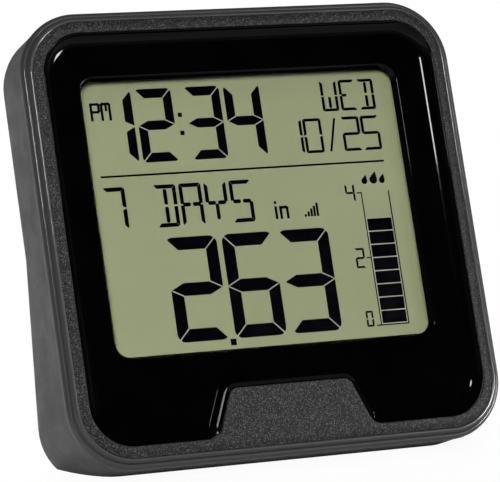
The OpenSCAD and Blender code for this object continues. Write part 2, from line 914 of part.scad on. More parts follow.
module case_screws() color("#8c8c90") case_screw_places() {
    seat = boss_meet + seat_t;
    difference() {
        union() {
            rod(0, 0, screw_r, screw_reach + gap, seat);
            rod(0, 0, screw_head_r, seat, seat + screw_head_t);
        }
        for (turn = [0, 90]) rotate([0, turn, 0])
            brick(0, 0, screw_slot_w, 2 * screw_slot_share * screw_head_r, seat + screw_slot_t,
                seat + 2 * screw_head_t);
    }
}

module battery_door() color("#505050") on_slope() {
    difference() {
        union() {
            translate([-door_w / 2, -door_t, -door_axis_down])
                cube([door_w, door_t, door_axis_down - door_top_down]);
            door_axis(door_barrel_r, door_w / 2);
            door_axis(door_pin_r, door_w / 2 + door_pin_len);
        }
        // Thumb dip above the latch
        translate([0, thumb_r - thumb_t, -door_top_down - thumb_down]) sphere(thumb_r);
    }
    // Latch finger on the inner face
    translate([-latch_w / 2, -door_t - latch_len, -door_top_down - latch_drop - latch_t])
        cube([latch_w, latch_len + skin, latch_t]);
}

// Stand

// The stand, folded flat, in the frame of the lower back
module folded_stand() {
    half = stand_w / 2;
    r = stand_t / 2;
    for (x = [-1, 1]) {
        translate([x * arm_x - arm_w / 2, -stand_t, -hinge_down - stand_reach + r])
            cube([arm_w, stand_t, stand_reach - r]);
        translate([x * arm_x - arm_w / 2, -hinge_in, -hinge_down]) rotate([0, 90, 0])
            cylinder(r = r, h = arm_w);
        translate([x * (half + pin_len / 2) - pin_len / 2, -hinge_in, -hinge_down])
            rotate([0, 90, 0]) cylinder(r = pin_r, h = pin_len);
    }
    translate([-half, -stand_t, -hinge_down - stand_reach + r])
        cube([stand_w, stand_t, bar_h - r]);
    translate([-half, -hinge_in, -hinge_down - stand_reach + r]) rotate([0, 90, 0])
        cylinder(r = r, h = stand_w);
}

module stand() color("#3c3c3e") on_slope() {
    translate([0, -hinge_in, -hinge_down]) rotate([stand_open, 0, 0])
        translate([0, hinge_in, hinge_down]) folded_stand();
}

// Battery

// Cell along X with its button on one side
module cell(side) {
    translate([side * cell_shift, 0, 0]) {
        translate([side * -button_t / 2, 0, 0]) rotate([0, 90, 0])
            cylinder(r = cell_d / 2, h = cell_len - button_t, center = true);
        translate([side * (cell_len / 2 - button_t), 0, 0]) rotate([0, side * 90, 0])
            cylinder(r = button_r, h = button_t);
    }
}

module upper_cell() color("#a86a28") on_slope() translate([0, -cell_in, -cell_high_down]) cell(1);

module lower_cell() color("#a86a28") on_slope() translate([0, -cell_in, -cell_low_down]) cell(-1);

// Contact plate at one end of the bay
module plate(side, down, high) {
    translate([side * (bay_len / 2 - contact_t / 2) - contact_t / 2, -cell_in - contact_h / 2,
        -down - high / 2]) cube([contact_t, contact_h, high]);
}

// Bump where a cell's button presses
module bump(side, down) {
    translate([side * (bay_len / 2 - contact_t), -cell_in, -down]) rotate([0, -side * 90, 0])
        cylinder(r = bump_r, h = bump_t - gap / 2);
}

// Tab that passes through the bay's wall, or its slot when grown by a gap
module solder_tab(down, grow) {
    translate([bay_len / 2 - skin, -cell_in - contact_t / 2 - grow, -down - solder_tab_w / 2 - grow])
        cube([bay_wall + solder_tab_len + skin + 2 * grow, contact_t + 2 * grow,
            solder_tab_w + 2 * grow]);
}

module plus_contact() color("#c8c8c0") on_slope() {
    plate(1, cell_high_down, contact_h);
    bump(1, cell_high_down);
    solder_tab(cell_high_down, 0);
}

module minus_contact() color("#c8c8c0") on_slope() {
    plate(1, cell_low_down, contact_h);
    solder_tab(cell_low_down, 0);
}

module link_contact() color("#c8c8c0") on_slope() {
    plate(-1, (cell_high_down + cell_low_down) / 2, cell_pitch + contact_h);
    bump(-1, cell_low_down);
}

// Cone of wire, swept along a tapering helix
module coil(side) {
    steps = spring_turns * spring_steps;
    length = spring_len - 2 * spring_wire_r;
    big = spring_big_r;
    small = spring_small_r;
    points = [for (i = [0 : steps], j = [0 : spring_sides - 1])
        let (share = i / steps, turn = 360 * i / spring_steps, ring = 360 * j / spring_sides,
            r = big + (small - big) * share + spring_wire_r * cos(ring),
            x = spring_wire_r + length * share + spring_wire_r * sin(ring))
        [side * x, r * cos(turn), r * sin(turn)]];
    faces = tube_faces(steps + 1, spring_sides);
    polyhedron(points, side > 0 ? faces : [for (f = faces) [for (k = [len(f) - 1 : -1 : 0]) f[k]]]);
}

module battery_springs() color("#c0c0b8") on_slope() {
    start = bay_len / 2 - contact_t - gap / 2;
    translate([-start, -cell_in, -cell_high_down]) coil(1);
    translate([start, -cell_in, -cell_low_down]) coil(-1);
}

module plus_lead() color("#b02020") lead(plus_route, wire_r);

module minus_lead() color("#202020") lead(minus_route, wire_r);

placed() front_case();
placed() front_trim();
placed() window_bezel();
placed() lens_tape();
placed() lens();
placed() lcd_front_film();
placed() lcd_front_glass();
placed() lcd_rear_glass();
placed() lcd_reflector();
placed() lcd_holder();
placed() zebra_strip();
placed() main_board();
placed() board_screws();
placed() chip_blob();
placed() clock_crystal();
placed() electrolytic_capacitor();
placed() chip_capacitors();
placed() chip_resistors();
placed() receiver_board();
placed() receiver_pins();
placed() receiver_chip();
placed() receiver_crystal();
placed() antenna_wire();
placed() switch_bodies();
placed() plunger(0);  // set_plunger
placed() plunger(1);  // mode_plunger
placed() plunger(2);  // plus_plunger
placed() plunger(3);  // reset_plunger
placed() key(0);  // set_key
placed() key(1);  // mode_key
placed() key(2);  // plus_key
placed() key(3);  // reset_key
placed() rear_case();
placed() case_screws();
placed() battery_door();
placed() stand();
placed() upper_cell();
placed() lower_cell();
placed() plus_contact();
placed() minus_contact();
placed() link_contact();
placed() battery_springs();
placed() plus_lead();
placed() minus_lead();
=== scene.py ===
import math
import bmesh
import bpy
from mathutils import Matrix, Vector
from mathutils.geometry import tessellate_polygon


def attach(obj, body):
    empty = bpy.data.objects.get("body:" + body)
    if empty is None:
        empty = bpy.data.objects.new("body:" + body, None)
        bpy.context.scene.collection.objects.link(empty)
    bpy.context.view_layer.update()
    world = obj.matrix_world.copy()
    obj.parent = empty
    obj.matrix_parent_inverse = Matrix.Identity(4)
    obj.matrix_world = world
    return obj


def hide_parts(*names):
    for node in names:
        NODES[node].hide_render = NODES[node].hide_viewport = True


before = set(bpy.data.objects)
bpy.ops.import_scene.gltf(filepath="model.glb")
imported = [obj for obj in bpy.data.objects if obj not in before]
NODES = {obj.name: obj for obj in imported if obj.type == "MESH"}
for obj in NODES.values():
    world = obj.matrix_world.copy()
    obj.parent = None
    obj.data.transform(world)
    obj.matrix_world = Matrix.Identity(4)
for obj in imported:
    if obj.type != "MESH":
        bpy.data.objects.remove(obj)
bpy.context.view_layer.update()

# The case frame, in millimetres: u to the right, depth into the face, v up the face
MM = 0.001
LEAN = math.radians(21.3)
ORIGIN_Y = -0.281383
ORIGIN_Z = 56.8503


def place(u, depth, v):
    """Metres in the shared frame of a point of the case frame."""
    return (u * MM,
            (depth * math.cos(LEAN) + v * math.sin(LEAN) + ORIGIN_Y) * MM,
            (-depth * math.sin(LEAN) + v * math.cos(LEAN) + ORIGIN_Z) * MM)


# Materials

# Usual height of a bump in metres, share by which gloss varies, scales and share of the
# noises, half of a cell's length in metres, and the coat on plastic
FAINT = 0.00003
SPREAD = 0.12
MOTTLE_SCALE = 60
GLOSS_SCALE = 220
FINE_SHARE = 0.35
CELL_HALF = 0.025
COAT_ROUGHNESS = 0.12
COAT_IOR = 1.7


def shade(value):
    """The linear value that Blender takes for a channel as a screen shows it, by the sRGB curve."""
    shown = value / 255
    if shown <= 0.04045:
        return shown / 12.92
    return ((shown + 0.055) / 1.055) ** 2.4


def rgba(colour):
    """Colour of three channels, or a grey of one, from 0 to 255 each."""
    if not isinstance(colour, (tuple, list)):
        colour = (colour, colour, colour)
    return tuple(shade(c) for c in colour) + (1,)


class Nodes:
    """Short calls for building one material's node tree."""

    def __init__(self, name):
        self.material = bpy.data.materials.new(name)
        self.material.use_nodes = True
        self.tree = self.material.node_tree
        self.tree.nodes.clear()
        self.output = self.add("ShaderNodeOutputMaterial")

    def add(self, kind, **settings):
        node = self.tree.nodes.new(kind)
        for key, value in settings.items():
            setattr(node, key, value)
        return node

    def link(self, source, target):
        self.tree.links.new(source, target)

    def position(self):
        return self.add("ShaderNodeTexCoord").outputs["Object"]

    def noise(self, scale, detail=3.0, stretch=None):
        node = self.add("ShaderNodeTexNoise")
        node.inputs["Scale"].default_value = scale
        node.inputs["Detail"].default_value = detail
        source = self.position()
        if stretch:
            mapping = self.add("ShaderNodeMapping")
            mapping.inputs["Scale"].default_value = stretch
            self.link(source, mapping.inputs["Vector"])
            source = mapping.outputs["Vector"]
        self.link(source, node.inputs["Vector"])
        return node.outputs["Fac"]

    def cells(self, scale):
        node = self.add("ShaderNodeTexVoronoi")
        node.inputs["Scale"].default_value = scale
        self.link(self.position(), node.inputs["Vector"])
        return node

    def ramp(self, source, stops):
        node = self.add("ShaderNodeValToRGB")
        elements = node.color_ramp.elements
        while len(elements) < len(stops):
            elements.new(0.5)
        for element, (position, colour) in zip(elements, stops):
            element.position = position
            element.color = colour
        self.link(source, node.inputs["Fac"])
        return node.outputs["Color"]

    def span(self, source, low, high):
        """A noise's usual reach, drawn out to run from low to high."""
        node = self.add("ShaderNodeMapRange")
        node.inputs["From Min"].default_value = 0.3
        node.inputs["From Max"].default_value = 0.7
        node.inputs["To Min"].default_value = low
        node.inputs["To Max"].default_value = high
        self.link(source, node.inputs["Value"])
        return node.outputs["Result"]

    def mix(self, share, first, second, blend="MIX"):
        node = self.add("ShaderNodeMix", data_type="RGBA", blend_type=blend)
        colours = [socket for socket in node.inputs if socket.type == "RGBA"]
        for socket, value in zip([node.inputs["Factor"]] + colours, (share, first, second)):
            if hasattr(value, "links"):
                self.link(value, socket)
            else:
                socket.default_value = value
        return next(socket for socket in node.outputs if socket.type == "RGBA")

    def bump(self, height, strength, distance=FAINT):
        node = self.add("ShaderNodeBump")
        node.inputs["Strength"].default_value = strength
        node.inputs["Distance"].default_value = distance
        self.link(height, node.inputs["Height"])
        return node.outputs["Normal"]

    def wear(self):
        """Where edges stand out, from the mesh's own pointiness."""
        source = self.add("ShaderNodeNewGeometry").outputs["Pointiness"]
        node = self.add("ShaderNodeMapRange")
        node.inputs["From Min"].default_value = 0.53
        node.inputs["From Max"].default_value = 0.6
        self.link(source, node.inputs["Value"])
        return node.outputs["Result"]

    def finish(self, shader):
        self.link(shader, self.output.inputs["Surface"])
        return self.material


def moulded(name, colour, rough=0.5, vary=0.08, grain=1800, depth=FAINT, strength=0.3,
            specular=0.5, metallic=0.0, coat=0.0, worn=0.0, stretch=None):
    """Moulded or finished surface: mottled colour, uneven gloss and fine grain."""
    look = Nodes(name)
    base = Vector(rgba(colour)[:3])
    dark = tuple(base * (1 - vary)) + (1,)
    pale = tuple(base * (1 + vary)) + (1,)
    tone = look.ramp(look.noise(MOTTLE_SCALE, 4, stretch), [(0.3, dark), (0.7, pale)])
    fine = look.noise(grain, 2, stretch)
    tone = look.mix(FINE_SHARE, tone, look.ramp(fine, [(0.35, dark), (0.65, pale)]))
    if worn:
        lighter = tuple(min(1, c * (1 + worn)) for c in base) + (1,)
        tone = look.mix(look.wear(), tone, lighter)
    shader = look.add("ShaderNodeBsdfPrincipled")
    look.link(tone, shader.inputs["Base Color"])
    gloss = look.span(look.noise(GLOSS_SCALE, 3, stretch), rough * (1 - SPREAD),
                      rough * (1 + SPREAD))
    look.link(gloss, shader.inputs["Roughness"])
    look.link(look.bump(fine, strength, depth), shader.inputs["Normal"])
    shader.inputs["Specular IOR Level"].default_value = specular
    shader.inputs["Metallic"].default_value = metallic
    shader.inputs["Coat Weight"].default_value = coat
    shader.inputs["Coat Roughness"].default_value = COAT_ROUGHNESS
    shader.inputs["Coat IOR"].default_value = COAT_IOR
    return look.finish(shader.outputs["BSDF"])


def speckled(name):
    """Dark paint with metallic flakes."""
    look = Nodes(name)
    flakes = look.cells(5200)
    shown = look.ramp(flakes.outputs["Color"], [(0.0, rgba(12)), (0.4, rgba(20)),
                                                (0.68, rgba(38)), (0.88, rgba(98))])
    soft = look.ramp(look.noise(2300, 3), [(0.38, rgba(14)), (0.62, rgba(40))])
    tone = look.mix(0.35, shown, soft)
    shader = look.add("ShaderNodeBsdfPrincipled")
    look.link(tone, shader.inputs["Base Color"])
    look.link(look.span(look.noise(2600, 2), 0.38, 0.6), shader.inputs["Roughness"])
    look.link(look.bump(flakes.outputs["Distance"], 0.25, 0.00004), shader.inputs["Normal"])
    shader.inputs["Metallic"].default_value = 0.06
    shader.inputs["Specular IOR Level"].default_value = 0.07
    return look.finish(shader.outputs["BSDF"])


def glossy_black(name):
    """Piano black with very faint polishing marks."""
    look = Nodes(name)
    tone = look.ramp(look.noise(90, 4), [(0.3, rgba(0.6)), (0.7, rgba(2))])
    shader = look.add("ShaderNodeBsdfPrincipled")
    look.link(tone, shader.inputs["Base Color"])
    look.link(look.span(look.noise(500, 4, (1, 1, 6)), 0.035, 0.07), shader.inputs["Roughness"])
    look.link(look.bump(look.noise(160, 2), 0.03), shader.inputs["Normal"])
    shader.inputs["Specular IOR Level"].default_value = 0.08
    return look.finish(shader.outputs["BSDF"])


def clear(name, tint, gloss, rough=0.04):
    """Thin clear sheet: light passes straight on, with a faint gloss and haze."""
    look = Nodes(name)
    through = look.add("ShaderNodeBsdfTransparent")
    pale = tuple(min(1, c * 1.01) for c in tint) + (1,)
    passed = look.ramp(look.noise(40, 3), [(0.3, tuple(tint) + (1,)), (0.7, pale)])
    look.link(passed, through.inputs["Color"])
    shine = look.add("ShaderNodeBsdfGlossy")
    look.link(look.span(look.noise(300, 2), rough * 0.7, rough * 1.3), shine.inputs["Roughness"])
    both = look.add("ShaderNodeMixShader")
    both.inputs["Fac"].default_value = gloss
    look.link(through.outputs["BSDF"], both.inputs[1])
    look.link(shine.outputs["BSDF"], both.inputs[2])
    return look.finish(both.outputs["Shader"])


def striped(name, first, second, scale):
    """Layers of two colours along X."""
    look = Nodes(name)
    wave = look.add("ShaderNodeTexWave", bands_direction="X")
    wave.inputs["Scale"].default_value = scale
    wave.inputs["Distortion"].default_value = 0.4
    look.link(look.position(), wave.inputs["Vector"])
    tone = look.ramp(wave.outputs["Fac"], [(0.3, rgba(first)), (0.6, rgba(second))])
    shader = look.add("ShaderNodeBsdfPrincipled")
    look.link(tone, shader.inputs["Base Color"])
    look.link(look.span(look.noise(400), 0.54, 0.66), shader.inputs["Roughness"])
    look.link(look.bump(wave.outputs["Fac"], 0.2), shader.inputs["Normal"])
    return look.finish(shader.outputs["BSDF"])


def jacket(name, side):
    """Cell jacket: muted green, with a pale band towards the end on one side along X."""
    look = Nodes(name)
    split = look.add("ShaderNodeSeparateXYZ")
    look.link(look.position(), split.inputs["Vector"])
    along = look.add("ShaderNodeMapRange")
    along.inputs["From Min"].default_value = -CELL_HALF * side
    along.inputs["From Max"].default_value = CELL_HALF * side
    look.link(split.outputs["X"], along.inputs["Value"])
    tone = look.ramp(along.outputs["Result"], [(0.0, rgba((52, 84, 68))),
                                               (0.76, rgba((56, 88, 72))),
                                               (0.765, rgba(186)), (1.0, rgba(192))])
    faint = look.ramp(look.noise(700, 3, (1, 6, 6)), [(0.3, rgba(225)), (0.7, rgba(255))])
    shader = look.add("ShaderNodeBsdfPrincipled")
    look.link(look.mix(1.0, tone, faint, "MULTIPLY"), shader.inputs["Base Color"])
    look.link(look.span(look.noise(400), 0.22, 0.32), shader.inputs["Roughness"])
    look.link(look.bump(look.noise(900, 2), 0.1, 0.00002), shader.inputs["Normal"])
    shader.inputs["Metallic"].default_value = 0.3
    return look.finish(shader.outputs["BSDF"])


def board(name, mask, copper):
    """Solder mask over copper tracks."""
    look = Nodes(name)
    brick = look.add("ShaderNodeTexBrick")
    brick.inputs["Scale"].default_value = 260
    brick.inputs["Mortar Size"].default_value = 0.03
    brick.inputs["Color1"].default_value = rgba(mask)
    brick.inputs["Color2"].default_value = tuple(c * 0.85 for c in rgba(mask)[:3]) + (1,)
    brick.inputs["Mortar"].default_value = rgba(copper)
    mapping = look.add("ShaderNodeMapping")
    mapping.inputs["Rotation"].default_value = (math.pi / 2 - LEAN, 0, 0)
    look.link(look.position(), mapping.inputs["Vector"])
    look.link(mapping.outputs["Vector"], brick.inputs["Vector"])
    cloud = look.ramp(look.noise(200), [(0.3, rgba(mask)), (0.7, rgba(copper))])
    tone = look.mix(0.3, brick.outputs["Color"], cloud)
    shader = look.add("ShaderNodeBsdfPrincipled")
    look.link(tone, shader.inputs["Base Color"])
    look.link(look.span(look.noise(300), 0.3, 0.42), shader.inputs["Roughness"])
    look.link(look.bump(brick.outputs["Fac"], 0.3), shader.inputs["Normal"])
    return look.finish(shader.outputs["BSDF"])


RING = moulded("ring_plastic", 44, rough=0.42, vary=0.06, grain=2400, strength=0.12,
               specular=0.15, coat=0.25)
REAR = moulded("rear_plastic", 53, rough=0.55, vary=0.09, grain=2600, strength=0.5,
               specular=0.3)
DOOR = moulded("door_plastic", 60, rough=0.5, vary=0.06, grain=2200, strength=0.35)
STAND = moulded("stand_plastic", 52, rough=0.45, vary=0.06, grain=2200, strength=0.3)
KEY = moulded("key_plastic", 82, rough=0.4, vary=0.05, grain=2600, strength=0.2, worn=0.2)
TRIM = speckled("trim_paint")
BEZEL = glossy_black("piano_black")
SCREEN = moulded("screen_ground", (180, 186, 145), rough=0.5, vary=0.02, grain=5200,
                 depth=0.00001, strength=0.15, specular=0.1)
INK = moulded("screen_ink", (2, 2, 9), rough=0.6, vary=0.2, grain=3000, strength=0.05,
              specular=0.0)
LIGHT_INK = moulded("screen_gap", (206, 208, 192), rough=0.4, vary=0.03, grain=3000,
                    strength=0.05, specular=0.02)
LENS = clear("clear_lens", (0.992, 0.995, 0.992), 0.006)
GLASS = clear("screen_glass", (0.99, 0.993, 0.988), 0.002)
FILM = clear("polariser_film", (0.985, 0.988, 0.975), 0.001, 0.2)
STEEL = moulded("plated_steel", 178, rough=0.32, vary=0.08, grain=2500, metallic=1.0,
                stretch=(1, 1, 4))
BLACK = moulded("black_nylon", 38, rough=0.5, vary=0.12)
FINISHES = {
    "rear_case": REAR, "battery_door": DOOR, "stand": STAND,
    "set_key": KEY, "mode_key": KEY, "plus_key": KEY, "reset_key": KEY,
    "lens": LENS, "lcd_front_glass": GLASS, "lcd_front_film": FILM,
    "lcd_rear_glass": SCREEN, "lcd_reflector": SCREEN,
    "lens_tape": moulded("foam_tape", 32, rough=0.8, vary=0.15, grain=1500, strength=0.6),
    "lcd_holder": BLACK, "switch_bodies": BLACK,
    "zebra_strip": striped("layered_rubber", (214, 160, 168), (70, 60, 62), 9000),
    "main_board": board("green_board", (30, 98, 54), (70, 140, 84)),
    "receiver_board": board("blue_board", (28, 84, 140), (74, 130, 180)),
    "board_screws": STEEL, "case_screws": STEEL, "clock_crystal": STEEL,
    "receiver_crystal": STEEL, "battery_springs": STEEL, "plus_contact": STEEL,
    "minus_contact": STEEL, "link_contact": STEEL,
    "chip_blob": moulded("chip_resin", 22, rough=0.2, vary=0.2, grain=500, strength=0.2),
    "receiver_chip": moulded("chip_body", 28, rough=0.55, vary=0.15, grain=4000),
    "electrolytic_capacitor": moulded("can_sleeve", (38, 52, 84), rough=0.3, vary=0.08),
    "chip_capacitors": moulded("fired_ceramic", (176, 140, 92), rough=0.45, vary=0.1),
    "chip_resistors": moulded("coated_ceramic", 30, rough=0.35, vary=0.2),
    "receiver_pins": moulded("gilt_brass", (202, 168, 84), rough=0.3, metallic=1.0),
    "antenna_wire": moulded("wire_sleeve", (192, 118, 60), rough=0.4, vary=0.08),
    "plus_lead": moulded("red_sleeve", (176, 34, 32), rough=0.4, vary=0.08),
    "minus_lead": moulded("black_sleeve", 34, rough=0.4, vary=0.12),
    "upper_cell": jacket("upper_cell_jacket", 1), "lower_cell": jacket("lower_cell_jacket", -1),
}
PLUNGER = moulded("plunger_nylon", (216, 216, 206), rough=0.45, vary=0.04)

# The CAD nodes: their own finish, and shading that is smooth but for the sharp edges
SMOOTH_ANGLE = math.radians(28)
WELD_DISTANCE = 0.000002
for name, node in NODES.items():
    node.data.materials.clear()
    node.data.materials.append(PLUNGER if name.endswith("_plunger") else FINISHES.get(name, BLACK))
    for kind in ("custom_normal", "sharp_face"):
        if kind in node.data.attributes:
            node.data.attributes.remove(node.data.attributes[kind])
    node.data.shade_smooth()
    weld = node.modifiers.new("join", "WELD")
    weld.merge_threshold = WELD_DISTANCE
    split = node.modifiers.new("edges", "EDGE_SPLIT")
    split.split_angle = SMOOTH_ANGLE
    split.use_edge_sharp = False


# Outlines

# Steps of a corner's arc, the extra point's distance from a bend in millimetres, the dot
# product from which two normals count as one, and the metres within which points merge
CORNER_STEPS = 16
BESIDE = 0.4
STRAIGHT = 0.999
MERGE_DISTANCE = 0.0000005


def outline(corners):
    """Closed outline through (x, y, radius, steps, share), each corner rounded by an arc.
    Gives points with their outward normals and shares."""
    found = []
    for i, (x, y, r, steps, share) in enumerate(corners):
        here = Vector((x, y))
        before = (Vector(corners[i - 1][:2]) - here).normalized()
        after = (Vector(corners[(i + 1) % len(corners)][:2]) - here).normalized()
        half = before.angle(after) / 2
        centre = here + (before + after).normalized() * r / math.sin(half)
        first = here + before * r / math.tan(half) - centre
        last = here + after * r / math.tan(half) - centre
        cross = first.x * last.y - first.y * last.x
        turn = math.atan2(cross, first.dot(last))
        side = 1 if turn > 0 else -1
        for k in range(steps + 1):
            a = turn * k / steps
            arm = Vector((first.x * math.cos(a) - first.y * math.sin(a),
                          first.x * math.sin(a) + first.y * math.cos(a)))
            value = share
            if isinstance(share, tuple):
                value = share[0] + (share[1] - share[0]) * k / steps
            found.append((centre + arm, arm.normalized() * side, value))
    # A point close to each end of a straight run, so that the arcs' shading stays in the arcs
    full = []
    for (p, n, a), (q, m, b) in zip(found, found[1:] + found[:1]):
        full.append((p, n, a))
        if (q - p).length > 4 * BESIDE and n.dot(m) > STRAIGHT:
            along = (q - p).normalized() * BESIDE
            full += [(p + along, n, a), (q - along, m, b)]
    return full


def rectangle(half_w, half_h, r, up=0.0, steps=CORNER_STEPS, across=0.0):
    """Outline of a rectangle with round corners, moved up and across from the middle."""
    return outline([(x * half_w + across, y * half_h + up, r, steps, 0.0)
                    for x, y in ((1, 1), (-1, 1), (-1, -1), (1, -1))])


def sweep(path, profile, other=None):
    """Rings for each (offset, depth) of a profile; other is the profile where the share is 1."""
    rings = []
    for k, (offset, depth) in enumerate(profile):
        far_offset, far_depth = other[k] if other else (offset, depth)
        row = []
        for p, n, share in path:
            q = p + n * (offset + (far_offset - offset) * share)
            row.append((q.x, depth + (far_depth - depth) * share, q.y))
        rings.append(row)
    return rings


class Shell:
    """A mesh put together from rings of equal length and flat fills between them."""

    def __init__(self):
        self.points = []
        self.faces = []

    def add(self, row):
        start = len(self.points)
        self.points += row
        return list(range(start, start + len(row)))

    def join(self, first, second):
        n = len(first)
        for i in range(n):
            j = (i + 1) % n
            self.faces.append((first[i], first[j], second[j], second[i]))

    def strip(self, rings):
        rows = [self.add(row) for row in rings]
        for a, b in zip(rows, rows[1:]):
            self.join(a, b)
        return rows

    def fill(self, outer, *holes, flip=False):
        """Flat face between index loops that lie at one depth."""
        loops = [[Vector((self.points[i][0], self.points[i][2], 0)) for i in loop]
                 for loop in (outer,) + holes]
        order = [i for loop in (outer,) + holes for i in loop]
        for tri in tessellate_polygon(loops):
            tri = [order[i] for i in tri]
            self.faces.append(tuple(reversed(tri)) if flip else tuple(tri))

    def build(self, name, material, smooth=40):
        mesh = bpy.data.meshes.new(name)
        mesh.from_pydata([place(*p) for p in self.points], [], self.faces)
        mesh.validate()
        work = bmesh.new()
        work.from_mesh(mesh)
        bmesh.ops.remove_doubles(work, verts=work.verts, dist=MERGE_DISTANCE)
        bmesh.ops.recalc_face_normals(work, faces=work.faces)
        work.to_mesh(mesh)
        work.free()
        mesh.shade_smooth()
        mesh.set_sharp_from_angle(angle=math.radians(smooth))
        mesh.materials.append(material)
        piece = bpy.data.objects.new(name, mesh)
        bpy.context.scene.collection.objects.link(piece)
        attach(piece, "case")
        return piece


# Front case

# Half width, half height and corner radius of the outlines on the face
FACE_SIZE = (57.0, 55.95, 15.5)
TRIM_SIZE = (54.5, 53.4, 13.0)
OPEN = (51.9, 50.6, 10.4)

# Round the ring: (offset from the outline, depth), over both beads and back behind them
beads = [(-2.5, 1.0), (-2.5, 0.06), (-2.48, 0.02), (-2.43, 0.0), (-2.3, -0.02), (-2.05, -0.03),
         (-1.84, 0.03), (-1.66, 0.17), (-1.53, 0.42), (-1.44, 0.72), (-1.38, 1.0), (-1.3, 1.2),
         (-1.2, 1.3), (-1.1, 1.28), (-0.98, 1.24), (-0.8, 1.24), (-0.58, 1.32), (-0.36, 1.5),
         (-0.18, 1.76), (-0.06, 2.06), (0.0, 2.38), (0.0, 2.66), (-0.05, 2.83), (-0.16, 2.94),
         (-0.3, 2.98), (-0.5, 3.0), (-2.25, 3.0), (-2.25, 5.2), (-3.85, 5.2), (-3.85, 5.0),
         (-7.5, 5.0), (-7.5, 3.4), (-4.3, 3.4), (-4.3, 1.0)]
shell = Shell()
rows = shell.strip(sweep(rectangle(*FACE_SIZE), beads))
shell.join(rows[-1], rows[0])

POST_SIDES = 28
POST_BEVEL = 0.15
BORE_BEVEL = 0.1


def tube(shell, x, up, outer, inner, start, bore_start, end):
    """Round post with a blind bore from its far end."""
    def circle(r, depth):
        turns = [2 * math.pi * k / POST_SIDES for k in range(POST_SIDES)]
        return shell.add([(x + r * math.cos(a), depth, up + r * math.sin(a)) for a in turns])
    rows = [circle(outer, start), circle(outer, end - POST_BEVEL), circle(outer - POST_BEVEL, end),
            circle(inner + BORE_BEVEL, end), circle(inner, end - BORE_BEVEL),
            circle(inner, bore_start)]
    for a, b in zip(rows, rows[1:]):
        shell.join(a, b)
    shell.faces.append(tuple(rows[0]))
    shell.faces.append(tuple(rows[-1]))


CASE_POST = {"outer": 2.75, "inner": 1.31, "start": 4.0, "bore_start": 5.2, "end": 11.2}
BOARD_POST = {"outer": 2.2, "inner": 0.96, "start": 4.0, "bore_start": 5.4, "end": 8.6}
for side in (-1, 1):
    for up in (-41.5, 41.5):
        tube(shell, side * 49.4, up, **CASE_POST)
    for up in (9, 32):
        tube(shell, side * 49.6, up, **BOARD_POST)
ring_piece = shell.build("front_case_ring", RING)
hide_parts("front_case")

# Trim and bezel

# Half widths of the pad's foot and top, the height of its top, and roundings and depths
PAD_FOOT = 20.35
PAD_TOP = 15.53
PAD_UP = -38.8
PAD_FOOT_ROUND = 3.3
PAD_TOP_ROUND = 2.2
PAD_STEPS = 10
DISH_FLOOR = 1.8
BEZEL_BACK = 3.4
FLANGE_FRONT = 1.0

opening = outline([(OPEN[0], OPEN[1], OPEN[2], CORNER_STEPS, 0.0),
                   (-OPEN[0], OPEN[1], OPEN[2], CORNER_STEPS, 0.0),
                   (-OPEN[0], -OPEN[1], OPEN[2], CORNER_STEPS, 0.0),
                   (-PAD_FOOT, -OPEN[1], PAD_FOOT_ROUND, PAD_STEPS, (0.0, 1.0)),
                   (-PAD_TOP, PAD_UP, PAD_TOP_ROUND, PAD_STEPS, 1.0),
                   (PAD_TOP, PAD_UP, PAD_TOP_ROUND, PAD_STEPS, 1.0),
                   (PAD_FOOT, -OPEN[1], PAD_FOOT_ROUND, PAD_STEPS, (1.0, 0.0)),
                   (OPEN[0], -OPEN[1], OPEN[2], CORNER_STEPS, 0.0)])

shell = Shell()
outer = shell.strip(sweep(rectangle(*TRIM_SIZE), [
    (-0.02, 1.0), (-0.02, 0.06), (-0.04, 0.02), (-0.1, -0.02), (-0.3, -0.07), (-0.6, -0.17),
    (-0.95, -0.28), (-1.3, -0.37), (-1.6, -0.41), (-1.85, -0.42), (-1.9, -0.42)]))
inner = shell.strip(sweep(opening, [
    (0.0, 1.0), (0.0, -0.24), (0.03, -0.33), (0.09, -0.39), (0.18, -0.42), (0.23, -0.42)]))
shell.fill(outer[-1], inner[-1])
shell.fill(outer[0], inner[0], flip=True)
trim_piece = shell.build("front_trim_panel", TRIM)
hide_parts("front_trim")

# The bezel's slope from the trim down to the dish: along the frame, and along the pad
frame_wall = [(-0.08, 1.0), (-0.08, -0.1), (-0.12, -0.17), (-0.2, -0.19), (-0.3, -0.14),
              (-0.42, 0.02), (-0.6, 0.3), (-0.9, 0.68), (-1.3, 1.05), (-1.7, 1.31), (-2.1, 1.51),
              (-2.5, 1.65), (-2.85, 1.74), (-3.15, 1.79), (-3.3, DISH_FLOOR), (-3.38, DISH_FLOOR)]
pad_wall = [(0.08, 1.0), (0.08, 0.35), (0.14, 0.3), (0.3, 0.28), (0.55, 0.24),
            (0.8, 0.1), (1.0, -0.04), (1.25, -0.12), (1.5, -0.1), (1.75, 0.04), (1.95, 0.3),
            (2.12, 0.75), (2.28, 1.3), (2.45, 1.68), (2.62, DISH_FLOOR), (2.7, DISH_FLOOR)]
pad_wall = [(-offset, depth) for offset, depth in pad_wall]
window = rectangle(41.45, 33.95, 3.4, up=5.1, steps=12, across=-0.5)
flange = rectangle(52.5, 51.2, 11.0)
shell = Shell()
wall = shell.strip(sweep(opening, frame_wall, pad_wall))
sill = shell.strip(sweep(window, [(1.1, DISH_FLOOR), (1.02, DISH_FLOOR), (0.9, 1.84), (0.78, 1.95),
                                  (0.1, 3.02), (0.02, 3.12), (0.0, 3.2), (0.0, BEZEL_BACK)]))
back = shell.strip(sweep(flange, [(0.0, BEZEL_BACK), (0.0, FLANGE_FRONT)]))
shell.fill(wall[-1], sill[0])
shell.fill(back[0], sill[-1], flip=True)
shell.fill(back[-1], wall[0])
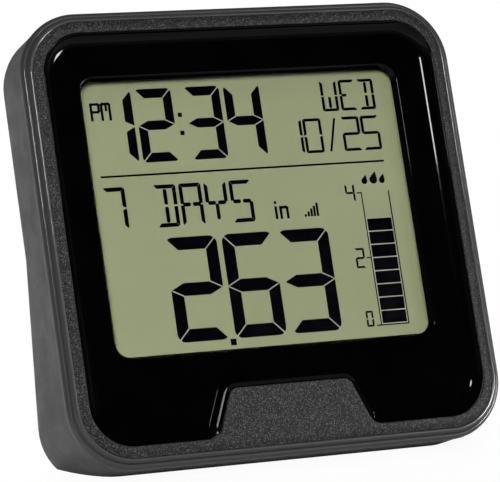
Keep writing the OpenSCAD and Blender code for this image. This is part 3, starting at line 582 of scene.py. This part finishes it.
bezel_piece = shell.build("window_bezel_panel", BEZEL, smooth=50)
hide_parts("window_bezel")


# Readout

def clip(polygon, point, normal):
    """Part of a convex polygon on the side of a line that the normal points to."""
    kept = []
    for i, here in enumerate(polygon):
        before = polygon[i - 1]
        far = (before - point).dot(normal)
        near = (here - point).dot(normal)
        if (far < 0) != (near < 0):
            kept.append(before.lerp(here, far / (far - near)))
        if near >= 0:
            kept.append(here)
    return kept


def oblong(u0, v0, u1, v1):
    """Corners of a rectangle from its lower left to its upper right corner."""
    return [Vector(p) for p in ((u0, v0), (u1, v0), (u1, v1), (u0, v1))]


ROUND_TURNS = (15, 35, 55, 75)


def round_off(polygon, corner, inward, r):
    """Cuts a corner of a polygon to an arc of radius r."""
    centre = Vector(corner) + Vector(inward) * r
    for a in ROUND_TURNS:
        away = Vector((-inward[0] * math.cos(math.radians(a)),
                       -inward[1] * math.sin(math.radians(a))))
        polygon = clip(polygon, centre + away * r, -away)
    return polygon


# The segments that are lit in each character
LIT = {"0": "abcdef", "1": "bc", "2": "abged", "3": "abgcd", "4": "fgbc", "5": "afgcd",
       "6": "afgedc", "7": "abc", "A": "abcefgh", "Y": "fbghl", "S": "afghcd", "D": "abcdil",
       "W": "fedcbl", "E": "afedg"}
# Gaps and ends of the short strokes in the middle of a nine-segment character
MIDDLE_GAP = 0.28
LOWER_GAP = 0.25
POST_GAP = 0.1
LEFT_END = 0.62
RIGHT_END = 0.5
END_ROUND = 0.45
# The readout's polygons, in millimetres on the face: dark strokes and the pale gaps in them
ink = []
pale = []


def digit(sign, u, v, w, h, tv, th, cut, corner=0.6, split=False, apart=0.0):
    """One character of seven or nine segments whose lower left corner is (u, v). The strokes
    are tv wide and th high, with mitres cut wide, and apart parts upper from lower ones."""
    apart = max(apart, cut)
    mid = h / 2
    joints = {"af": ((0, h), (tv, h - th)), "ab": ((w, h), (w - tv, h - th)),
              "fg": ((0, mid), (tv, mid + th / 2)), "bg": ((w, mid), (w - tv, mid + th / 2)),
              "eg": ((0, mid), (tv, mid - th / 2)), "cg": ((w, mid), (w - tv, mid - th / 2)),
              "de": ((0, 0), (tv, th)), "cd": ((w, 0), (w - tv, th))}
    boxes = {"a": (0, h - th, w, h), "d": (0, 0, w, th), "f": (0, mid + apart / 2, tv, h),
             "e": (0, 0, tv, mid - apart / 2), "b": (w - tv, mid + apart / 2, w, h),
             "c": (w - tv, 0, w, mid - apart / 2), "g": (0, mid - th / 2, w, mid + th / 2),
             "i": (w / 2 - tv / 2, mid + MIDDLE_GAP, w / 2 + tv / 2, h - th - POST_GAP),
             "l": (w / 2 - tv / 2, th + POST_GAP, w / 2 + tv / 2, mid - LOWER_GAP)}
    if split:
        boxes["g"] = (LEFT_END, mid - th / 2, w / 2 - MIDDLE_GAP, mid + th / 2)
        boxes["h"] = (w / 2 + MIDDLE_GAP, mid - th / 2, w - RIGHT_END, mid + th / 2)
    r = corner * tv
    for name in LIT[sign]:
        shape = oblong(*boxes[name])
        centre = Vector(((boxes[name][0] + boxes[name][2]) / 2,
                         (boxes[name][1] + boxes[name][3]) / 2))
        if not (split and name in "gh"):
            for pair, (p, q) in joints.items():
                if name in pair and not (split and "g" in pair):
                    along = (Vector(q) - Vector(p)).normalized()
                    normal = Vector((-along.y, along.x))
                    if (centre - Vector(p)).dot(normal) < 0:
                        normal = -normal
                    shape = clip(shape, Vector(p) + normal * cut / 2, normal)
        for cx, cy in ((0, 0), (w, 0), (0, h), (w, h)):
            shape = round_off(shape, (cx, cy), (1 if cx == 0 else -1, 1 if cy == 0 else -1), r)
        if name in "ghil" and (split or name in "il"):
            x0, y0, x1, y1 = boxes[name]
            bit = END_ROUND * min(x1 - x0, y1 - y0)
            for cx, cy in ((x0, y0), (x1, y0), (x0, y1), (x1, y1)):
                shape = round_off(shape, (cx, cy), (1 if cx == x0 else -1,
                                                    1 if cy == y0 else -1), bit)
        ink.append([p + Vector((u, v)) for p in shape])
    for pair, (p, q) in joints.items():
        if apart == cut and all(s in LIT[sign] for s in pair):
            p, q = Vector(p), Vector(q)
            along = (q - p).normalized()
            side = Vector((-along.y, along.x)) * cut / 2
            start = p + along * 0.3 * r
            pale.append([c + Vector((u, v)) for c in (start - side, q - side, q + side,
                                                      start + side)])


def bar(u0, v0, u1, v1):
    """One dark rectangle."""
    ink.append(oblong(u0, v0, u1, v1))


def stroke(points, width):
    """Straight strokes of one width through points."""
    for p, q in zip(points, points[1:]):
        p, q = Vector(p), Vector(q)
        along = (q - p).normalized() * width / 2
        side = Vector((-along.y, along.x))
        p, q = p - along, q + along
        ink.append([p - side, q - side, q + side, p + side])


# Clock
for sign, u, w in (("1", -37.9, 9.5), ("2", -27.43, 9.6), ("3", -14.5, 9.5), ("4", -3.9, 9.57)):
    digit(sign, u, 18.87, w, 18.4, 2.3, 2.35, 0.24)
for v in (30.35, 25.8):
    bar(-16.77, v - 0.55, -15.67, v + 0.55)
stroke([(-39.07, 30.15), (-39.07, 34.0), (-37.3, 34.0), (-37.08, 33.8), (-37.08, 32.3),
        (-37.35, 32.05), (-39.07, 32.05)], 0.66)
stroke([(-36.35, 30.15), (-36.35, 33.75), (-36.1, 34.0), (-34.55, 34.0), (-34.3, 33.75),
        (-34.3, 30.15)], 0.66)
stroke([(-35.2, 34.0), (-35.2, 32.5)], 0.6)
bar(-39.0, 15.62, 36.67, 16.12)

# Day and date
for k, sign in enumerate("WED"):
    digit(sign, 22.17 + 5.08 * k, 29.25, 4.5, 7.92, 0.77, 0.72, 0.04, 0.85, True, 0.3)
for sign, u in (("1", 10.67), ("0", 16.0), ("2", 26.43), ("5", 31.8)):
    digit(sign, u, 18.83, 5.0, 8.84, 0.77, 0.74, 0.04, 0.85, apart=0.3)
stroke([(22.78, 19.3), (24.76, 27.15)], 0.6)

# Days counter
digit("7", -39.1, 2.72, 5.7, 10.45, 1.03, 1.0, 0.05, 0.8, apart=0.4)
for k, sign in enumerate("DAYS"):
    digit(sign, -26.02 + 6.62 * k, 2.57, 5.85, 10.6, 0.97, 1.0, 0.05, 0.8, True, 0.4)

# Rain total
for sign, u in (("2", -25.04), ("6", -10.08), ("3", 4.8)):
    digit(sign, u, -26.0, 13.6, 25.9, 3.1, 3.2, 0.26, 0.7)
bar(-11.58, -27.6, -10.02, -26.0)
stroke([(5.43, 3.1), (5.43, 5.65)], 0.68)
bar(5.1, 6.6, 5.78, 7.28)
stroke([(6.7, 3.1), (6.7, 5.65), (8.2, 5.65), (8.47, 5.4), (8.47, 3.1)], 0.68)

# Signal bars, drops and bar graph
for k, high in enumerate((0.6, 1.27, 2.0, 2.63, 3.37)):
    bar(12.9 + 0.82 * k, 2.9, 13.53 + 0.82 * k, 2.9 + high)
for u, v, r in ((30.45, 10.97, 0.8), (32.93, 11.2, 1.05), (35.27, 10.97, 0.8)):
    ink.append([Vector((u + r * math.cos(math.radians(a)), v + r * math.sin(math.radians(a))))
                for a in range(134, 369, 13)] + [Vector((u + 0.7 * r, v + 2.05 * r))])
digit("4", 24.75, 5.85, 2.6, 4.6, 0.55, 0.55, 0.04, apart=0.1)
digit("2", 24.8, -11.0, 2.6, 5.1, 0.55, 0.55, 0.04, apart=0.1)
digit("0", 25.2, -25.82, 2.0, 4.0, 0.5, 0.5, 0.04, apart=0.2)
for v in (8.04, -8.5, -25.6):
    bar(27.82, v - 0.16, 29.0, v + 0.16)
bar(28.93, -25.76, 29.24, 8.2)
bar(36.42, -25.76, 36.74, 8.2)
bar(28.93, -25.76, 36.74, -25.44)
pale.append(oblong(29.26, -25.42, 36.4, 1.5))

GRAPH_LEVELS = 8
LEVEL_STEP = 3.35
LEVEL_HIGH = 3.08
for k in range(GRAPH_LEVELS):
    bar(29.5, -25.2 + LEVEL_STEP * k, 36.2, -25.2 + LEVEL_STEP * k + LEVEL_HIGH)


def plates(name, polygons, front, back, material):
    """Thin flat shapes on the screen, each a closed plate."""
    shell = Shell()
    for shape in polygons:
        a = shell.add([(p.x, front, p.y) for p in shape])
        b = shell.add([(p.x, back, p.y) for p in shape])
        shell.join(a, b)
        shell.faces.append(tuple(reversed(a)))
        shell.faces.append(tuple(b))
    piece = shell.build(name, material, smooth=20)
    piece.visible_shadow = False
    return piece


# Front and back of each sheet, as depths
FILM_SHEET = (4.62, 4.76)
GLASS_SHEET = (4.84, 5.4)
INK_SHEET = (5.44, 5.46)
GAP_SHEET = (5.47, 5.485)

film = plates("screen_polariser", [oblong(-43.4, -30.55, 43.4, 40.95)], *FILM_SHEET, FILM)
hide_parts("lcd_front_film")
front_glass = plates("screen_front_glass", [oblong(-44.0, -31.15, 44.0, 44.75)],
                     *GLASS_SHEET, GLASS)
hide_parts("lcd_front_glass")
plates("screen_segments", ink, *INK_SHEET, INK)
plates("screen_segment_gaps", pale, *GAP_SHEET, LIGHT_INK)

# Floor, light and camera

# The room's light falls from the horizon's strength to the upper one at this height of view
FLOOR_REACH = 4
FLOOR_GLOW = 0.95
ROOM_RISE = 0.35
ROOM_HORIZON = 0.65
ROOM_ABOVE = 0.05


def seen_rays(tree):
    """1 for rays that start at the camera or pass through a sheet, and 0 for others."""
    path = tree.nodes.new("ShaderNodeLightPath")
    either = tree.nodes.new("ShaderNodeMath")
    either.operation = "MAXIMUM"
    tree.links.new(path.outputs["Is Camera Ray"], either.inputs[0])
    tree.links.new(path.outputs["Is Transmission Ray"], either.inputs[1])
    return either.outputs[0]


look = Nodes("pale_floor")
matte = look.add("ShaderNodeBsdfDiffuse")
look.link(look.ramp(look.noise(6, 2), [(0.3, rgba(250)), (0.7, rgba(252))]), matte.inputs["Color"])
glow = look.add("ShaderNodeEmission")
both = look.add("ShaderNodeMixShader")
share = look.add("ShaderNodeMath", operation="MULTIPLY")
share.inputs[1].default_value = FLOOR_GLOW
look.link(seen_rays(look.tree), share.inputs[0])
look.link(share.outputs[0], both.inputs["Fac"])
look.link(matte.outputs["BSDF"], both.inputs[1])
look.link(glow.outputs["Emission"], both.inputs[2])
floor_mesh = bpy.data.meshes.new("floor")
floor_mesh.from_pydata([(x * FLOOR_REACH, y * FLOOR_REACH, 0)
                        for x, y in ((-1, -1), (1, -1), (1, 1), (-1, 1))], [], [(0, 1, 2, 3)])
floor_mesh.materials.append(look.finish(both.outputs["Shader"]))
floor = bpy.data.objects.new("floor", floor_mesh)
bpy.context.scene.collection.objects.link(floor)

world = bpy.data.worlds.new("studio")
bpy.context.scene.world = world
world.use_nodes = True
tree = world.node_tree
tree.nodes.clear()
out = tree.nodes.new("ShaderNodeOutputWorld")
coords = tree.nodes.new("ShaderNodeTexCoord")
split = tree.nodes.new("ShaderNodeSeparateXYZ")
tree.links.new(coords.outputs["Generated"], split.inputs[0])
level = tree.nodes.new("ShaderNodeMapRange")
level.inputs["From Min"].default_value = 0.0
level.inputs["From Max"].default_value = ROOM_RISE
level.inputs["To Min"].default_value = ROOM_HORIZON
level.inputs["To Max"].default_value = ROOM_ABOVE
tree.links.new(split.outputs["Z"], level.inputs["Value"])
room = tree.nodes.new("ShaderNodeBackground")
tree.links.new(level.outputs["Result"], room.inputs["Strength"])
white = tree.nodes.new("ShaderNodeBackground")
mixed = tree.nodes.new("ShaderNodeMixShader")
tree.links.new(seen_rays(tree), mixed.inputs["Fac"])
tree.links.new(room.outputs[0], mixed.inputs[1])
tree.links.new(white.outputs[0], mixed.inputs[2])
tree.links.new(mixed.outputs[0], out.inputs["Surface"])

MIDDLE = (0, 0, 0.055)


def lamp(name, where, width, height, watts, lights=True, gleams=True):
    """Rectangular lamp at a place in metres, turned to the object's middle. It can be left
    out of matt light or of gleams."""
    data = bpy.data.lights.new(name, "AREA")
    data.shape = "RECTANGLE"
    data.size = width
    data.size_y = height
    data.energy = watts
    lit = bpy.data.objects.new(name, data)
    lit.location = where
    lit.rotation_euler = (Vector(MIDDLE) - Vector(where)).to_track_quat("-Z", "Y").to_euler()
    lit.visible_diffuse = lights
    lit.visible_glossy = gleams
    bpy.context.scene.collection.objects.link(lit)


lamp("soft_front", (-0.5, -1.06, 0.64), 0.6, 0.6, 17.5, gleams=False)
lamp("soft_back", (0.15, 1.25, 0.9), 1.6, 1.2, 22.0, gleams=False)
lamp("soft_top", (0.0, 0.1, 1.4), 1.2, 1.2, 6.0, gleams=False)
lamp("high_front", (-0.012, -0.812, 0.6465), 0.15, 0.09, 4.4, lights=False)
lamp("low_right", (0.617, -0.702, 0.292), 0.18, 0.18, 10.5, lights=False)

# The camera, in millimetres from the face's middle, as fitted to the photo's straight edges
FACE_MIDDLE = Vector((0, -0.281, 56.850))
AWAY = 769
ASIDE = 4.14
BELOW = 3.56

camera_data = bpy.data.cameras.new("camera")
camera_data.sensor_width = 36
camera_data.lens = 227.736
camera_data.clip_start = 0.01
camera = bpy.data.objects.new("camera", camera_data)
right = Vector((0.9177, -0.3973, 0.0))
up = Vector((0.0635, 0.1467, 0.9871))
ahead = Vector((0.3922, 0.9059, -0.1599))
turn = Matrix((right, up, -ahead)).transposed()
spot = (FACE_MIDDLE - ASIDE * right - BELOW * up - AWAY * ahead) * MM
camera.matrix_world = Matrix.Translation(spot) @ turn.to_4x4()
bpy.context.scene.collection.objects.link(camera)
bpy.context.scene.camera = camera
bpy.context.scene.view_settings.view_transform = "Standard"
